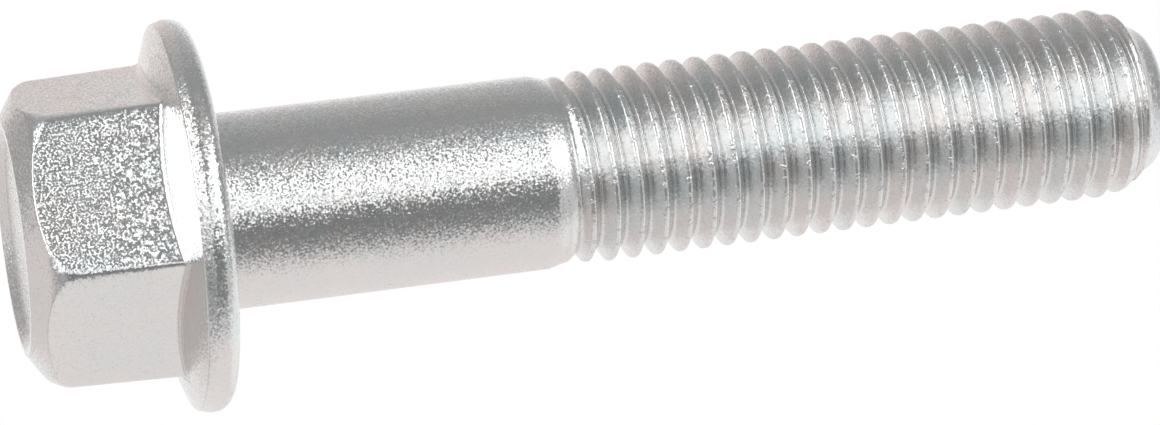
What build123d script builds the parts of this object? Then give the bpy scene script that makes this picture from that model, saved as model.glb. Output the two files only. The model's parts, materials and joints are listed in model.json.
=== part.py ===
from build123d import *
import os
from math import cos, radians, sqrt, tan

# Flange bolt, one cold-forged and turned piece, standing on its head.
# +Z runs along the axis from the head to the tip, and z = 0 is the head's end.
# All lengths are millimetres and all angles are degrees.

# Head: hexagon with a conical crown and a shallow dish in its end. The size across flats
# is at the hexagon's foot, and the flats draw in from there by the draft.
head_height = 11.6
across_flats = 16.85
hex_corner_r = 0.85
hex_draft = 0.8
crown_angle = 33.0
rim_r = 7.05
rim_edge_r = 0.25
dish_r = 6.75
dish_depth = 0.5
dish_wall_angle = 35.0

# Flange: forged in one with the head, conical towards the hexagon
flange_d = 23.6
flange_edge_height = 2.15
flange_cone_angle = 23.0
flange_front_r = 0.4
flange_back_r = 1.0
hex_foot_r = 0.45

# Shank: lengths run from the bearing face. The thread is an M12 x 1.5 right-hand one,
# and its blank is a plain cylinder of its major diameter.
bolt_length = 59.8
shank_d = 11.82
under_head_r = 0.6
shank_length = 20.15
thread_major_d = 11.75
neck_d = 11.26
neck_start = 21.55
neck_end = 21.85
thread_start = 22.3

# Tip: chamfered thread end and a smooth rounded lead
chamfer_start = 56.6
lead_start = 58.5
chamfer_end_r = 5.12
lead_r = 5.06
lead_round_r = 2.0

bearing_z = head_height
tip_z = bearing_z + bolt_length
cone_inner_r = 5.0
foot_z = bearing_z - 3.0


def cone_z(radius):
    """Height of the flange's conical face at a radius, if it ran that far."""
    edge_z = bearing_z - flange_edge_height
    return edge_z - (flange_d / 2 - radius) * tan(radians(flange_cone_angle))


def pick(section, radius, z):
    """The corner of a half-section nearest to a radius and a height."""
    return section.vertices().sort_by_distance((radius, 0, z))[0]


def half_section(points, arc=None):
    """A half-section in the XZ plane, from radius and height pairs and a closing arc."""
    outline = Polyline(*points, close=arc is None)
    if arc is not None:
        outline = outline + arc
    return make_face(Plane.XZ * outline)


def turned_body():
    """The flange, plain shank, neck, thread blank, chamfered end and lead."""
    flange_r = flange_d / 2
    round_z = tip_z - lead_round_r
    lead_start_z = bearing_z + lead_start
    lead_end_r = lead_r - lead_round_r
    lead_start_r = lead_end_r + sqrt(lead_round_r**2 - (lead_start_z - round_z) ** 2)
    points = [
        (lead_end_r, tip_z),
        (0, tip_z),
        (0, cone_z(cone_inner_r)),
        (cone_inner_r, cone_z(cone_inner_r)),
        (flange_r, cone_z(flange_r)),
        (flange_r, bearing_z),
        (shank_d / 2, bearing_z),
        (shank_d / 2, bearing_z + shank_length),
        (neck_d / 2, bearing_z + neck_start),
        (neck_d / 2, bearing_z + neck_end),
        (thread_major_d / 2, bearing_z + thread_start),
        (thread_major_d / 2, bearing_z + chamfer_start),
        (chamfer_end_r, lead_start_z),
        (lead_start_r, lead_start_z),
    ]
    lead_arc = RadiusArc(points[-1], points[0], -lead_round_r)
    section = half_section(points, lead_arc)
    section = fillet(pick(section, flange_r, cone_z(flange_r)), flange_front_r)
    section = fillet(pick(section, flange_r, bearing_z), flange_back_r)
    section = fillet(pick(section, shank_d / 2, bearing_z), under_head_r)
    return revolve(section, axis=Axis.Z)


def hexagon():
    """The hexagonal prism with rounded corners, drawn in from its foot to the head's end."""
    outline = RegularPolygon(radius=across_flats / 2, side_count=6, major_radius=False)
    outline = fillet(outline.vertices(), hex_corner_r)
    return extrude(Pos(0, 0, foot_z) * outline, amount=-foot_z, taper=hex_draft)


def crown():
    """What the head's end is cut to: a cone that rises from the rim, over the corners."""
    reach = across_flats
    flare = (reach - rim_r) * tan(radians(crown_angle))
    section = half_section([
        (0, 0),
        (rim_r, 0),
        (reach, flare),
        (reach, bearing_z),
        (0, bearing_z),
    ])
    section = fillet(pick(section, rim_r, 0), rim_edge_r)
    return revolve(section, axis=Axis.Z)


def dish():
    """The shallow round recess in the head's end, with a sloped wall."""
    floor_r = dish_r - dish_depth / tan(radians(dish_wall_angle))
    section = half_section([(0, 0), (dish_r, 0), (floor_r, dish_depth), (0, dish_depth)])
    return revolve(section, axis=Axis.Z)


def flange_bolt():
    """The whole bolt, with the hexagon's foot blended into the flange's cone."""
    head = (hexagon() & crown()) - dish()
    bolt = head + turned_body()
    corner_r = across_flats / 2 / cos(radians(30))
    foot_low = cone_z(across_flats / 2) - hex_foot_r
    foot_high = cone_z(corner_r) + hex_foot_r
    foot = bolt.edges().filter_by_position(Axis.Z, foot_low, foot_high)
    return fillet(foot, hex_foot_r)


os.makedirs("parts", exist_ok=True)
bolt = flange_bolt()
export_step(bolt, "parts/flange_bolt.step")
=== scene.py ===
"""Looks of the flange bolt: one bright zinc mesh with its rolled thread, in place of the CAD solid."""

import json
import math

import bpy
import numpy as np
from mathutils import Matrix, Vector


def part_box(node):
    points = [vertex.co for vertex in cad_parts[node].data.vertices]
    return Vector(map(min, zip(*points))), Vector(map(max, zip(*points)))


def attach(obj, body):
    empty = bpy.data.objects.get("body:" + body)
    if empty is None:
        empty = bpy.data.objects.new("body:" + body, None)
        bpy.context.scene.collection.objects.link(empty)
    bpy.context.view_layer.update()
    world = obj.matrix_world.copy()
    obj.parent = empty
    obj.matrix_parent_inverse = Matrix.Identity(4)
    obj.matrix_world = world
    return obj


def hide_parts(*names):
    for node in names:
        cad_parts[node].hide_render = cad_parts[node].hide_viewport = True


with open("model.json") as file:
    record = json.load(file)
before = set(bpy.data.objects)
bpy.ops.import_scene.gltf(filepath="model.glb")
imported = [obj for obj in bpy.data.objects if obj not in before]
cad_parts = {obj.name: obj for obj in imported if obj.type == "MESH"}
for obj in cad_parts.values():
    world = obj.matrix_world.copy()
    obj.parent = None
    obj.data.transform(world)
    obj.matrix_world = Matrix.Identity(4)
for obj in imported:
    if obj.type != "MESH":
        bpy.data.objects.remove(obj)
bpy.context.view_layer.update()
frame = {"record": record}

NODE = "flange_bolt"
MM = 0.001
_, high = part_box(NODE)
mounts = {m["name"]: m for m in frame["record"]["mounts"]}

# Sizes in millimetres. The frame gives the outer ones, and the rest is the bolt's own detail.
TIP_Z = high.z / MM
FLANGE_R = high.x / MM
BEARING_Z = mounts["bearing_face"]["pos_m"][2] / MM
SHANK_R = mounts["shank"]["dims"]["r_mm"]
CREST_R = mounts["thread"]["dims"]["r_mm"]

# Head: a hexagon whose corners grow rounder towards a conical crown, with a dish in its end
HEX_FOOT_APOTHEM = 8.4
HEX_END_APOTHEM = 8.26
HEX_FOOT_CORNER_R = 0.4
HEX_END_CORNER_R = 1.2
CROWN_SLOPE = math.tan(math.radians(33.0))
CROWN_EDGE_R = 0.14
CROWN_CORNER_R = 1.5
CROWN_CORNER_REACH = math.radians(13.0)
RIM_R = 7.05
RIM_EDGE_R = 0.25
DISH_R = 6.75
DISH_DEPTH = 0.5
DISH_FLOOR_R = 6.04
DISH_EDGE_R = 0.12

# Flange: a cone from the hexagon's foot, a bevel round its edge, and a rounded back
CONE_EDGE_R = 11.6
CONE_EDGE_Z = BEARING_Z - 1.97
CONE_SLOPE = math.tan(math.radians(19.5))
CONE_EDGE_ROUND_R = 0.2
BEVEL_HEIGHT = 0.65
BEVEL_ROUND_R = 0.8
FOOT_R = 0.42
CREASE_REACH = 0.4
CREASE_WIDTH = 0.1
CREASE_DEPTH = 0.05
FLANGE_BACK_R = 1.0
UNDER_HEAD_R = 0.6

# Shank end and neck, as heights above the bearing face
SHANK_END = 20.15
NECK_R = 5.66
NECK_START = 21.45
NECK_END = 21.75

# Thread: M12 x 1.5, right-handed, with a 60-degree profile. Its grooves deepen over the rise.
PITCH = 1.5
ROOT_R = 5.03
PITCH_R = 5.465
CREST_ROUND_R = 0.18
THREAD_START = 21.0
THREAD_RISE = 2.0
THREAD_PHASE_Z = 35.83
THREAD_PHASE_AZ = math.radians(193.1)
FLANK = math.tan(math.radians(60))
HALF_ANGLE = math.radians(30)
ROOT_ROUND_R = ROOT_R - (PITCH_R - PITCH / 4 * FLANK)

# Distances from the middle of a root to where its round, the flank and the crest's round end
CREST_FLAT = PITCH / 4 + (CREST_R - PITCH_R) / FLANK
CREST_REACH = CREST_ROUND_R * math.tan(HALF_ANGLE)
ROOT_END = ROOT_ROUND_R * math.cos(HALF_ANGLE)
FLANK_END = CREST_FLAT - CREST_REACH / 2
ROUND_END = CREST_FLAT + CREST_REACH

# Tip: a chamfer in two steps and a smooth lead, as heights above the bearing face
CHAMFER_START = 56.4
CHAMFER_BEND = 57.9
CHAMFER_BEND_R = 5.44
LEAD_START = 58.5
LEAD_START_R = 4.78
LEAD_END_R = 4.05
LEAD_EDGE_R = 1.25

# Mesh: its columns stand closer together round the hexagon's corners, and its rows begin to
# lean with the thread a little before the shank ends
SECTORS = 6
SECTOR = 2 * math.pi / SECTORS
CORNER_OFFSETS = [math.radians(d) for d in (-3.1, -2.0, -1.2, -0.6, 0, 0.6, 1.2, 2.0, 3.1)]
FLAT_COLUMNS = 21
DISH_RINGS = (0.6, 2.4, 4.4)
TIP_RINGS = (2.0, 1.0, 0.4)
CREST_ROUND_STEPS = (0.28, 0.6)
LEANING_RUN = 1.0
LEAST_ROW_GAP = 0.03
HELIX_STRETCH = 1.35

# Finish attributes: the rolled length, the thread's crests, and the calm foot of the hexagon
ROLLED_BLEND = 1.2
CREST_BAND = 0.16
CREST_BLEND = 0.12
CALM_START_Z = 7.4
CALM_BLEND = 0.5
CALM_REACH = 9.8

# Finish: noise scales are per millimetre, and a lean is how far the normal can be pushed over
GRAIN_SCALE = 7.0
GRAIN_LEAN = 0.8
ROLLED_SHARE = 0.6
CALM_SHARE = 0.45
WAVE_SCALE = 0.45
WAVE_LEAN = 0.05
NICK_SCALE = 1.9
NICK_RANGE = (0.56, 0.66)
NICK_DEPTH = 0.05
NICK_STRENGTHS = (0.04, 0.8)
DULLING_SCALE = 2.2
DULLING_RANGE = (0.35, 0.65)
ROUGHNESS = (0.13, 0.22)
ROLLED_ROUGHNESS = 0.07
TINT_SCALE = 0.35
TINTS = ((0.38, (0.785, 0.80, 0.80, 1)), (0.62, (0.82, 0.80, 0.79, 1)))
PIT_SCALE = 5.0
PIT_RANGE = (0.32, 0.45)
PIT_LEVEL = 0.94

# Directions of the studio, about the bolt: toward the viewer, and up in the view
VIEW_AZ = -76.9
VIEW_ELEVATION = -12.8
TOWARD = (math.cos(math.radians(VIEW_AZ)), math.sin(math.radians(VIEW_AZ)), 0)
UPWARD = (TOWARD[1], -TOWARD[0], 0)

# The studio as seen round the bolt: angle from the viewer up over it, level and warmth.
# Positive angles are above the bolt in the view, and 180 is behind it.
TOWARD_HEAD = [
    (-180, 0.72, 0.5), (-140, 0.72, 0.5), (-108, 0.57, 1.0), (-86, 0.6, 0.3), (-66, 0.4, 0.3),
    (-43, 0.4, 0.0), (-17, 0.6, 0.0), (3, 1.2, 0.0), (12, 1.9, 0.0), (66, 1.9, 0.0),
    (80, 0.5, 0.0), (118, 0.36, 0.1), (146, 0.4, 0.4), (165, 0.6, 0.5), (180, 0.72, 0.5),
]
BESIDE = [
    (-180, 1.0, 0.0), (-150, 0.86, 0.4), (-95, 0.83, 0.35), (-84, 0.82, 0.3), (-74, 0.72, 0.3),
    (-64, 0.46, 0.2), (-54, 0.27, 0.1), (-25, 0.2, 0.0), (-16, 0.28, 0.0), (-6, 1.1, 0.0),
    (2, 1.1, 0.0), (13, 0.26, 0.0), (85, 0.34, 0.0), (112, 0.46, 0.2), (132, 0.56, 0.5),
    (144, 0.68, 1.0), (158, 0.78, 1.0), (180, 1.05, 0.2),
]
ALONG_SHANK = [
    (-180, 1.0, 0.2), (-160, 0.84, 0.6), (-84, 0.81, 0.5), (-66, 0.62, 0.1), (-52, 0.3, 0.0),
    (-28, 0.2, 0.0), (-12, 0.32, 0.0), (-2, 1.5, 0.0), (34, 1.5, 0.0), (46, 0.62, 0.0),
    (62, 0.4, 0.0), (86, 0.33, 0.0), (110, 0.42, 0.0), (138, 0.56, 0.1), (160, 1.0, 0.1),
    (180, 1.15, 0.0),
]
TOWARD_TIP = [
    (-180, 1.0, 0.0), (-90, 0.95, 0.0), (-60, 0.6, 0.0), (-20, 0.7, 0.0), (-4, 1.7, 0.0),
    (44, 1.7, 0.0), (60, 0.4, 0.0), (110, 0.3, 0.0), (150, 0.7, 0.0), (180, 1.0, 0.0),
]
PAST_TIP = [
    (-180, 0.9, 0.2), (-90, 0.9, 0.1), (-40, 0.4, 0.0), (40, 0.3, 0.0), (100, 0.4, 0.0),
    (180, 0.8, 0.2),
]

# Each later layer takes over from the one before it between two heights of the direction,
# which run from -1, straight past the head, to 1, straight past the tip.
LATER_LAYERS = (
    (BESIDE, -0.5, -0.22),
    (ALONG_SHANK, 0.1, 0.145),
    (TOWARD_TIP, 0.4, 0.6),
    (PAST_TIP, 0.78, 0.9),
)
COOL = (0.985, 1.0, 1.005)
WARM = (1.09, 0.97, 0.94)

# Floor, in metres from its middle to its side
FLOOR_REACH = 0.6
FLOOR_COLOUR = (0.8, 0.8, 0.8, 1)
FLOOR_GLOW = 0.5
WHITE = (1, 1, 1, 1)

# Camera: it looks back along the view's azimuth and elevation at a point on the bolt
CAMERA_AIM = Vector((2.714, 0.632, 34.351))
CAMERA_DISTANCE = 260.9
CAMERA_ROLL = 82.775
CAMERA_LENS = 132.92
CAMERA_SENSOR = 36
CAMERA_SHIFT = 0.0007
CAMERA_CLIP = 0.01


def smooth(x):
    """A ramp from 0 to 1 that starts and ends gently."""
    x = min(max(x, 0.0), 1.0)
    return x * x * (3 - 2 * x)


def cone_z(radius):
    """Height of the flange's conical face at a radius."""
    return CONE_EDGE_Z - (CONE_EDGE_R - radius) * CONE_SLOPE


def from_corner(angle):
    """How far an angle is from the nearest of the hexagon's corners."""
    return abs((angle + SECTOR / 2) % SECTOR - SECTOR / 2)


def hex_radius(angle, z):
    """Distance from the axis to the hexagon's side at an angle and a height."""
    rise = z / cone_z(HEX_FOOT_APOTHEM)
    apothem = HEX_END_APOTHEM + (HEX_FOOT_APOTHEM - HEX_END_APOTHEM) * rise
    corner_r = HEX_END_CORNER_R + (HEX_FOOT_CORNER_R - HEX_END_CORNER_R) * rise
    off = from_corner(angle)
    centre = (apothem - corner_r) / math.cos(SECTOR / 2)
    tangent = math.atan2(corner_r / 2, centre + corner_r * math.cos(SECTOR / 2))
    if off < tangent:
        return centre * math.cos(off) + math.sqrt(corner_r**2 - (centre * math.sin(off)) ** 2)
    return apothem / math.cos(SECTOR / 2 - off)


def column_angles():
    """Angles of the mesh's columns, close together round the hexagon's corners."""
    angles = []
    for sector in range(SECTORS):
        corner = SECTOR * sector
        angles += [corner + off for off in CORNER_OFFSETS]
        start = corner + CORNER_OFFSETS[-1]
        width = SECTOR - 2 * CORNER_OFFSETS[-1]
        angles += [start + width * k / (FLAT_COLUMNS + 1) for k in range(1, FLAT_COLUMNS + 1)]
    return angles


def rounded(corners):
    """Points along a polyline of (r, z, radius, steps) corners, with each corner rounded."""
    points = []
    for k, (r, z, radius, steps) in enumerate(corners):
        here = np.array([r, z])
        if radius == 0:
            points.append(here)
            continue
        before = np.array(corners[k - 1][:2]) - here
        after = np.array(corners[k + 1][:2]) - here
        before /= np.linalg.norm(before)
        after /= np.linalg.norm(after)
        half = math.acos(np.clip(before @ after, -1, 1)) / 2
        reach = radius / math.tan(half)
        middle = (before + after) / np.linalg.norm(before + after)
        centre = here + middle * radius / math.sin(half)
        a = here + before * reach - centre
        b = here + after * reach - centre
        turn = math.pi - 2 * half
        for s in range(steps + 1):
            t = s / steps
            arm = math.sin((1 - t) * turn) * a + math.sin(t * turn) * b
            points.append(centre + arm / math.sin(turn))
    return points


def between(a, b, count):
    """Corners with no rounding, spaced along a straight run."""
    return [
        (a[0] + (b[0] - a[0]) * k / (count + 1), a[1] + (b[1] - a[1]) * k / (count + 1), 0, 0)
        for k in range(1, count + 1)
    ]


def head_section(angle):
    """Half-section of the head, flange and plain shank in one column."""
    edge_r = hex_radius(angle, 0)
    for _ in range(4):
        edge_z = (edge_r - RIM_R) * CROWN_SLOPE
        edge_r = hex_radius(angle, edge_z)
    foot_r = hex_radius(angle, cone_z(edge_r))
    for _ in range(4):
        foot_z = cone_z(foot_r)
        foot_r = hex_radius(angle, foot_z)
    at_corner = smooth(1 - from_corner(angle) / CROWN_CORNER_REACH)
    crown_r = CROWN_EDGE_R + (CROWN_CORNER_R - CROWN_EDGE_R) * at_corner
    crease = foot_r + CREASE_REACH
    crease_end = (crease + CREASE_WIDTH, cone_z(crease + CREASE_WIDTH))
    cone_edge = (CONE_EDGE_R, CONE_EDGE_Z)
    shank_end = BEARING_Z + SHANK_END - LEANING_RUN
    return rounded(
        [
            *[(r, DISH_DEPTH, 0, 0) for r in DISH_RINGS],
            (DISH_FLOOR_R, DISH_DEPTH, DISH_EDGE_R, 3),
            (DISH_R, 0, DISH_EDGE_R, 3),
            (RIM_R, 0, RIM_EDGE_R, 3),
            *between((RIM_R, 0), (edge_r, edge_z), 2),
            (edge_r, edge_z, crown_r, 6),
            *between((edge_r, edge_z), (foot_r, foot_z), 5),
            (foot_r, foot_z, FOOT_R, 6),
            (crease - CREASE_WIDTH, cone_z(crease - CREASE_WIDTH), 0, 0),
            (crease, cone_z(crease) + CREASE_DEPTH, 0, 0),
            (*crease_end, 0, 0),
            *between(crease_end, cone_edge, 2),
            (*cone_edge, CONE_EDGE_ROUND_R, 4),
            (FLANGE_R, CONE_EDGE_Z + BEVEL_HEIGHT, BEVEL_ROUND_R, 3),
            (FLANGE_R, BEARING_Z, FLANGE_BACK_R, 8),
            *between((FLANGE_R, BEARING_Z), (SHANK_R, BEARING_Z), 2),
            (SHANK_R, BEARING_Z, UNDER_HEAD_R, 5),
            *between((SHANK_R, BEARING_Z), (SHANK_R, shank_end), 8),
            (SHANK_R, shank_end, 0, 0),
        ]
    )


def lead_section():
    """Half-section of the smooth lead, from the end of the chamfer to the tip's middle."""
    return rounded(
        [
            (LEAD_START_R, BEARING_Z + LEAD_START, 0, 0),
            (LEAD_END_R, TIP_Z, LEAD_EDGE_R, 8),
            *[(r, TIP_Z, 0, 0) for r in TIP_RINGS],
        ]
    )


def thread_profile(off):
    """Radius of the full thread at a distance along the axis from the middle of a root."""
    if off < ROOT_END:
        return ROOT_R + ROOT_ROUND_R - math.sqrt(ROOT_ROUND_R**2 - off**2)
    if off < FLANK_END:
        return PITCH_R + (off - PITCH / 4) * FLANK
    if off < ROUND_END:
        return CREST_R - CREST_ROUND_R + math.sqrt(CREST_ROUND_R**2 - (ROUND_END - off) ** 2)
    return CREST_R


def thread_rows():
    """Distances along the axis, from one root to the next, at which the thread is sampled."""
    crest_round = [FLANK_END + (ROUND_END - FLANK_END) * share for share in CREST_ROUND_STEPS]
    half = [
        0,
        ROOT_END / 2,
        ROOT_END,
        (ROOT_END + FLANK_END) / 2,
        FLANK_END,
        *crest_round,
        ROUND_END,
    ]
    return half + [PITCH / 2] + [PITCH - x for x in half[:0:-1]]


def blank_radius(z):
    """Radius of the rolled surface's crests at a height: shank, neck, thread and chamfer."""
    s = z - BEARING_Z
    if s < NECK_END:
        return SHANK_R + (NECK_R - SHANK_R) * smooth((s - SHANK_END) / (NECK_START - SHANK_END))
    crest = NECK_R + (CREST_R - NECK_R) * smooth((s - NECK_END) / THREAD_RISE)
    steps = (CHAMFER_START, CHAMFER_BEND, LEAD_START)
    return min(crest, float(np.interp(s, steps, (CREST_R, CHAMFER_BEND_R, LEAD_START_R))))


def thread_surface(off, z):
    """Radius of the neck, thread and chamfer at a height and a distance from a root's middle."""
    s = z - BEARING_Z
    crest = blank_radius(z)
    depth = (CREST_R - thread_profile(off)) * smooth((s - THREAD_START) / THREAD_RISE)
    if s > NECK_END + THREAD_RISE:
        return min(crest, CREST_R - depth)
    return crest - depth


class Skin:
    """A mesh in the making: vertices and faces, with their columns and section distances."""

    def __init__(self, angles):
        self.angles = angles
        self.count = len(angles)
        self.vertices = []
        self.along = []
        self.faces = []
        self.columns_of = []

    def place(self, r, angle, z, distance):
        """Add a vertex and return its number."""
        self.vertices.append((r * math.cos(angle), r * math.sin(angle), z))
        self.along.append(distance)
        return len(self.vertices) - 1

    def ring(self, r, z, distance):
        """Add a level ring of vertices, one to a column."""
        return [self.place(r, angle, z, distance) for angle in self.angles]

    def face(self, corners, columns):
        """Add a face with the columns that its corners have in the UVs."""
        self.faces.append(tuple(corners))
        self.columns_of.append(tuple(columns))

    def strip(self, a, b):
        """Join two rings with quads."""
        for i in range(self.count):
            j = (i + 1) % self.count
            self.face((a[i], a[j], b[j], b[i]), (i, i + 1, i + 1, i))

    def fan(self, middle, ring, downward):
        """Close a ring with triangles that meet at a vertex on the axis."""
        for i in range(self.count):
            j = (i + 1) % self.count
            if downward:
                self.face((middle, ring[j], ring[i]), (i + 0.5, i + 1, i))
            else:
                self.face((middle, ring[i], ring[j]), (i + 0.5, i, i + 1))


def add_head(skin):
    """Head, flange and plain shank. Gives its last ring, with its height and distance."""
    sections = [head_section(angle) for angle in skin.angles]
    distances = [DISH_RINGS[0]]
    for (r0, z0), (r, z) in zip(sections[0], sections[0][1:]):
        distances.append(distances[-1] + math.hypot(r - r0, z - z0))
    rings = [
        [skin.place(s[k][0], a, s[k][1], distances[k]) for s, a in zip(sections, skin.angles)]
        for k in range(len(sections[0]))
    ]
    skin.fan(skin.place(0, 0, DISH_DEPTH, 0), rings[0], True)
    for a, b in zip(rings, rings[1:]):
        skin.strip(a, b)
    return rings[-1], sections[0][-1][1], distances[-1]


def helix_columns(skin, start_z, end_z, distance_at):
    """Vertices of each column by row. The rows rise by one pitch in a turn of the bolt."""
    offsets = thread_rows()
    base = THREAD_PHASE_Z - PITCH * THREAD_PHASE_AZ / (2 * math.pi)
    first_turn = math.floor((start_z - base) / PITCH) - 2
    last_turn = math.ceil((end_z - base) / PITCH) + 1
    rows = [
        (base + turn * PITCH + off, off) for turn in range(first_turn, last_turn) for off in offsets
    ]
    columns = []
    for angle in skin.angles:
        column = {}
        for j, (z0, off) in enumerate(rows):
            z = z0 + PITCH * angle / (2 * math.pi)
            if start_z + LEAST_ROW_GAP < z < end_z - LEAST_ROW_GAP:
                r = thread_surface(min(off, PITCH - off), z)
                column[j] = skin.place(r, angle, z, distance_at(z))
        columns.append(column)
    # The last column is the first one again, where each row has come one pitch up.
    columns.append({j - len(offsets): v for j, v in columns[0].items()})
    return columns


def add_thread(skin, shank_ring, start_z, start_distance):
    """Shank's end, neck, thread and chamfer. Gives its last ring and that ring's distance."""
    end_z = BEARING_Z + LEAD_START

    def distance_at(z):
        return start_distance + (z - start_z) * HELIX_STRETCH

    columns = helix_columns(skin, start_z, end_z, distance_at)
    end_ring = skin.ring(LEAD_START_R, end_z, distance_at(end_z))
    for i in range(skin.count):
        left, right = columns[i], columns[i + 1]
        for j in left:
            if j in right and j + 1 in left and j + 1 in right:
                skin.face((left[j], right[j], right[j + 1], left[j + 1]), (i, i + 1, i + 1, i))

        # One face on each side takes up what is left between the leaning rows and a level ring
        k = (i + 1) % skin.count
        low_row = max(min(left), min(right))
        high_row = min(max(left), max(right))
        inner = [left[j] for j in sorted(left) if j <= low_row]
        outer = [right[j] for j in sorted(right) if j <= low_row]
        skin.face(
            (shank_ring[i], shank_ring[k], *outer, *reversed(inner)),
            (i, i + 1, *[i + 1] * len(outer), *[i] * len(inner)),
        )
        inner = [left[j] for j in sorted(left) if j >= high_row]
        outer = [right[j] for j in sorted(right) if j >= high_row]
        skin.face(
            (*outer, end_ring[k], end_ring[i], *reversed(inner)),
            (*[i + 1] * len(outer), i + 1, i, *[i] * len(inner)),
        )
    return end_ring, distance_at(end_z)


def add_lead(skin, ring, distance):
    """The smooth lead and the tip's end face."""
    lead = lead_section()
    for (r0, z0), (r, z) in zip(lead, lead[1:]):
        distance += math.hypot(r - r0, z - z0)
        following = skin.ring(r, z, distance)
        skin.strip(ring, following)
        ring = following
    skin.fan(skin.place(0, 0, TIP_Z, distance + TIP_RINGS[-1]), ring, False)


def bolt_skin():
    """The whole bolt as one closed skin."""
    skin = Skin(column_angles())
    shank_ring, start_z, start_distance = add_head(skin)
    end_ring, end_distance = add_thread(skin, shank_ring, start_z, start_distance)
    add_lead(skin, end_ring, end_distance)
    return skin


def vertex_normals(vertices, faces):
    """Normals that follow the larger faces, so that flats stay flat beside their rounded edges."""
    points = np.array(vertices)
    normals = np.zeros_like(points)
    for corners in faces:
        p = points[list(corners)]
        area = 0.5 * sum(np.cross(p[k] - p[0], p[k + 1] - p[0]) for k in range(1, len(corners) - 1))
        normals[list(corners)] += area
    return normals / np.linalg.norm(normals, axis=1)[:, None]


def add_uvs(mesh, skin):
    """UVs that run round the bolt by column and along it by section distance."""
    layer = mesh.uv_layers.new(name="OFBake")
    length = max(skin.along)
    uvs = [
        (column / skin.count, skin.along[corner] / length)
        for corners, columns in zip(skin.faces, skin.columns_of)
        for corner, column in zip(corners, columns)
    ]
    layer.data.foreach_set("uv", [c for uv in uvs for c in uv])


def add_finish_attributes(mesh, vertices):
    """Where the surface is rolled, where it is a crest, and where the hexagon's foot is calm."""
    rolled = mesh.attributes.new("rolled", "FLOAT", "POINT")
    crest = mesh.attributes.new("crest", "FLOAT", "POINT")
    calm = mesh.attributes.new("calm", "FLOAT", "POINT")
    for k, (x, y, z) in enumerate(vertices):
        s, r = z - BEARING_Z, math.hypot(x, y)
        rolled.data[k].value = smooth((s - SHANK_END) / ROLLED_BLEND)
        if s > NECK_START:
            crest.data[k].value = smooth((r - blank_radius(z) + CREST_BAND) / CREST_BLEND)
        if r < CALM_REACH and z < BEARING_Z:
            calm.data[k].value = smooth((z - CALM_START_Z) / CALM_BLEND)


def make_bolt():
    """The bolt as one object, with its UVs, finish attributes and normals."""
    skin = bolt_skin()
    mesh = bpy.data.meshes.new("bolt")
    mesh.from_pydata([tuple(c * MM for c in v) for v in skin.vertices], [], skin.faces)
    add_uvs(mesh, skin)
    add_finish_attributes(mesh, skin.vertices)
    mesh.shade_smooth()
    mesh.normals_split_custom_set_from_vertices(vertex_normals(skin.vertices, skin.faces).tolist())
    bolt = bpy.data.objects.new("bolt", mesh)
    bpy.context.scene.collection.objects.link(bolt)
    return bolt


def node_maker(tree):
    """Helpers for one node tree: put fills or links a socket, and node adds a node."""

    def put(socket, value):
        if isinstance(value, bpy.types.NodeSocket):
            tree.links.new(value, socket)
        else:
            socket.default_value = value

    def node(kind, inputs=None, **settings):
        made = tree.nodes.new("ShaderNode" + kind)
        for name, value in settings.items():
            setattr(made, name, value)
        for name, value in (inputs or {}).items():
            put(made.inputs[name], value)
        return made

    return put, node


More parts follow.
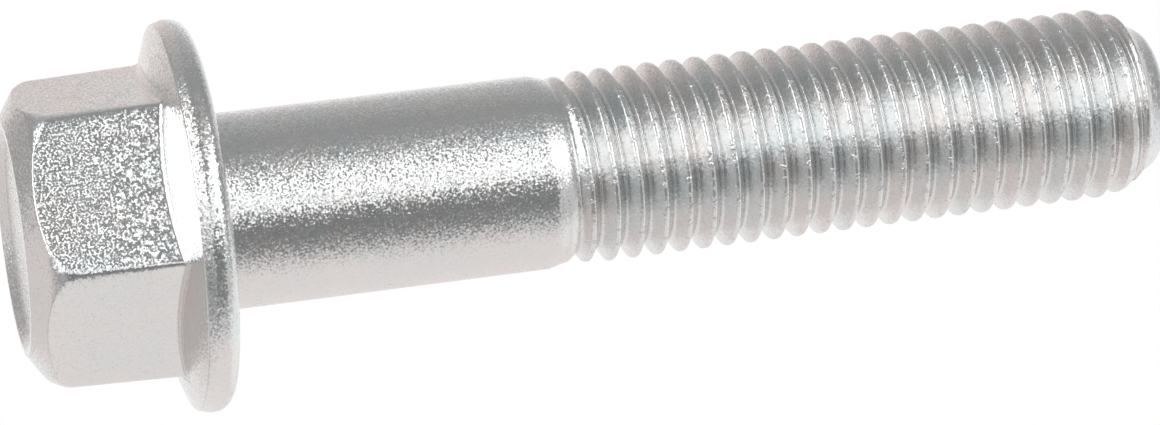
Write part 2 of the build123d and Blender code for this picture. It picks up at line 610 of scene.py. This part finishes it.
def zinc():
    """Bright zinc plating: a fine sparkling grain on forged faces, and a softer rolled thread."""
    material = bpy.data.materials.new("bright_zinc")
    material.use_nodes = True
    tree = material.node_tree
    put, node = node_maker(tree)
    shader = tree.nodes["Principled BSDF"]
    shader.inputs["Metallic"].default_value = 1.0
    at = node("TexCoord").outputs["Object"]
    rolled = node("Attribute", attribute_name="rolled").outputs["Fac"]
    crest = node("Attribute", attribute_name="crest").outputs["Fac"]
    calm = node("Attribute", attribute_name="calm").outputs["Fac"]

    def noise(scale, detail=2.0, output="Fac"):
        made = node("TexNoise", {"Vector": at, "Scale": scale / MM, "Detail": detail})
        return made.outputs[output]

    def span(value, source, target):
        starts = {"From Min": source[0], "From Max": source[1]}
        ends = {"To Min": target[0], "To Max": target[1]}
        return node("MapRange", {"Value": value, **starts, **ends}).outputs["Result"]

    def times(a, b):
        return node("Math", {0: a, 1: b}, operation="MULTIPLY").outputs[0]

    def vector(operation, *inputs, **named):
        sockets = {**dict(enumerate(inputs)), **named}
        return node("VectorMath", sockets, operation=operation).outputs[0]

    def lean(scale, amount):
        swing = vector("SUBTRACT", noise(scale, output="Color"), (0.5, 0.5, 0.5))
        return vector("SCALE", swing, Scale=amount)

    # Grain: every fleck of the plating leans its own way, on a surface that waves a little
    quiet = times(span(rolled, (0, 1), (1, ROLLED_SHARE)), span(calm, (0, 1), (1, CALM_SHARE)))
    normal = node("NewGeometry").outputs["Normal"]
    normal = vector("ADD", normal, lean(GRAIN_SCALE, times(quiet, GRAIN_LEAN)))
    normal = vector("ADD", normal, lean(WAVE_SCALE, WAVE_LEAN))
    normal = vector("NORMALIZE", normal)

    # Nicks, mostly on the thread's crests
    marks = span(noise(NICK_SCALE, 3.0), NICK_RANGE, (0, 1))
    nicks = node("Bump", {"Height": marks, "Normal": normal})
    nicks.inputs["Distance"].default_value = NICK_DEPTH * MM
    put(nicks.inputs["Strength"], span(crest, (0, 1), NICK_STRENGTHS))
    put(shader.inputs["Normal"], nicks.outputs["Normal"])

    rough = span(noise(DULLING_SCALE), DULLING_RANGE, ROUGHNESS)
    rough = node("Math", {0: rough, 1: times(rolled, ROLLED_ROUGHNESS)}, operation="ADD")
    put(shader.inputs["Roughness"], rough.outputs[0])

    # Colour: cool and warm patches in the passivation, with slightly darker pits
    tint = node("ValToRGB", {"Fac": noise(TINT_SCALE)})
    for element, (position, colour) in zip(tint.color_ramp.elements, TINTS):
        element.position = position
        element.color = colour
    pits = span(noise(PIT_SCALE), PIT_RANGE, (PIT_LEVEL, 1.0))
    put(shader.inputs["Base Color"], vector("SCALE", tint.outputs["Color"], Scale=pits))
    return material


def studio_world():
    """The studio that the metal reflects, painted in layers, with white where the camera looks."""
    world = bpy.data.worlds.new("studio")
    bpy.context.scene.world = world
    world.use_nodes = True
    tree = world.node_tree
    tree.nodes.clear()
    _, node = node_maker(tree)
    way = node("TexCoord").outputs["Generated"]

    def dot(axis):
        return node("VectorMath", {0: way, 1: axis}, operation="DOT_PRODUCT").outputs["Value"]

    angle = node("Math", {0: dot(UPWARD), 1: dot(TOWARD)}, operation="ARCTAN2").outputs[0]
    turn = node("MapRange", {"Value": angle, "From Min": -math.pi, "From Max": math.pi}).outputs[0]

    def ramp(stops):
        made = node("ValToRGB", {"Fac": turn})
        elements = made.color_ramp.elements
        while len(elements) < len(stops):
            elements.new(0.5)
        for element, (degrees, level, warmth) in zip(elements, stops):
            element.position = degrees / 360 + 0.5
            mixed = [level * (c + (w - c) * warmth) for c, w in zip(COOL, WARM)]
            element.color = (*mixed, 1)
        return made.outputs["Color"]

    # A colour Mix node's two colours are its sockets 6 and 7, and its result is output 2
    along = dot((0, 0, 1))
    room = ramp(TOWARD_HEAD)
    for stops, start, end in LATER_LAYERS:
        share = node("MapRange", {"Value": along, "From Min": start, "From Max": end})
        share.interpolation_type = "SMOOTHSTEP"
        colours = {"Factor": share.outputs[0], 6: room, 7: ramp(stops)}
        room = node("Mix", colours, data_type="RGBA").outputs[2]
    light = node("Background", {"Color": room})
    white = node("Background", {"Color": WHITE})
    seen = node("LightPath").outputs["Is Camera Ray"]
    mix = node("MixShader", {"Fac": seen, 1: light.outputs[0], 2: white.outputs[0]})
    node("OutputWorld", {"Surface": mix.outputs[0]})


def make_floor():
    """A pale floor that the camera sees from above only, and that takes the bolt's shadow."""
    mesh = bpy.data.meshes.new("floor")
    side = FLOOR_REACH
    corners = [(-side, -side, 0), (side, -side, 0), (side, side, 0), (-side, side, 0)]
    mesh.from_pydata(corners, [], [(0, 1, 2, 3)])
    floor = bpy.data.objects.new("floor", mesh)
    bpy.context.scene.collection.objects.link(floor)
    material = bpy.data.materials.new("pale_floor")
    material.use_nodes = True
    tree = material.node_tree
    tree.nodes.clear()
    _, node = node_maker(tree)
    pale = node("BsdfDiffuse", {"Color": FLOOR_COLOUR})
    glow = node("Emission", {"Color": WHITE, "Strength": FLOOR_GLOW})
    both = node("AddShader", {0: pale.outputs[0], 1: glow.outputs[0]})
    clear = node("BsdfTransparent")
    seen = node("LightPath").outputs["Is Camera Ray"]
    under = node("NewGeometry").outputs["Backfacing"]
    above = node("Math", {0: seen, 1: under}, operation="SUBTRACT", use_clamp=True)
    mix = node("MixShader", {"Fac": above.outputs[0], 1: clear.outputs[0], 2: both.outputs[0]})
    node("OutputMaterial", {"Surface": mix.outputs[0]})
    mesh.materials.append(material)
    return floor


def make_camera():
    """The photo's camera, rolled so that the bolt lies across the picture."""
    camera = bpy.data.cameras.new("camera")
    camera.sensor_width = CAMERA_SENSOR
    camera.lens = CAMERA_LENS
    camera.shift_y = CAMERA_SHIFT
    camera.clip_start = CAMERA_CLIP
    azimuth, elevation = math.radians(VIEW_AZ), math.radians(VIEW_ELEVATION)
    level_back = Vector((math.cos(azimuth), math.sin(azimuth), 0))
    back = level_back * math.cos(elevation) + Vector((0, 0, math.sin(elevation)))
    level = Vector((0, 0, 1)).cross(back).normalized()
    tall = back.cross(level)
    roll = math.radians(CAMERA_ROLL)
    right = level * math.cos(roll) + tall * math.sin(roll)
    up = tall * math.cos(roll) - level * math.sin(roll)
    turn = Matrix((right, up, back)).transposed().to_4x4()
    holder = bpy.data.objects.new("camera", camera)
    holder.matrix_world = Matrix.Translation((CAMERA_AIM + back * CAMERA_DISTANCE) * MM) @ turn
    bpy.context.scene.collection.objects.link(holder)
    bpy.context.scene.camera = holder


bolt = make_bolt()
bolt.data.materials.append(zinc())
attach(bolt, "root")
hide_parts(NODE)

floor = make_floor()
studio_world()
make_camera()
bpy.context.scene.view_settings.view_transform = "Standard"
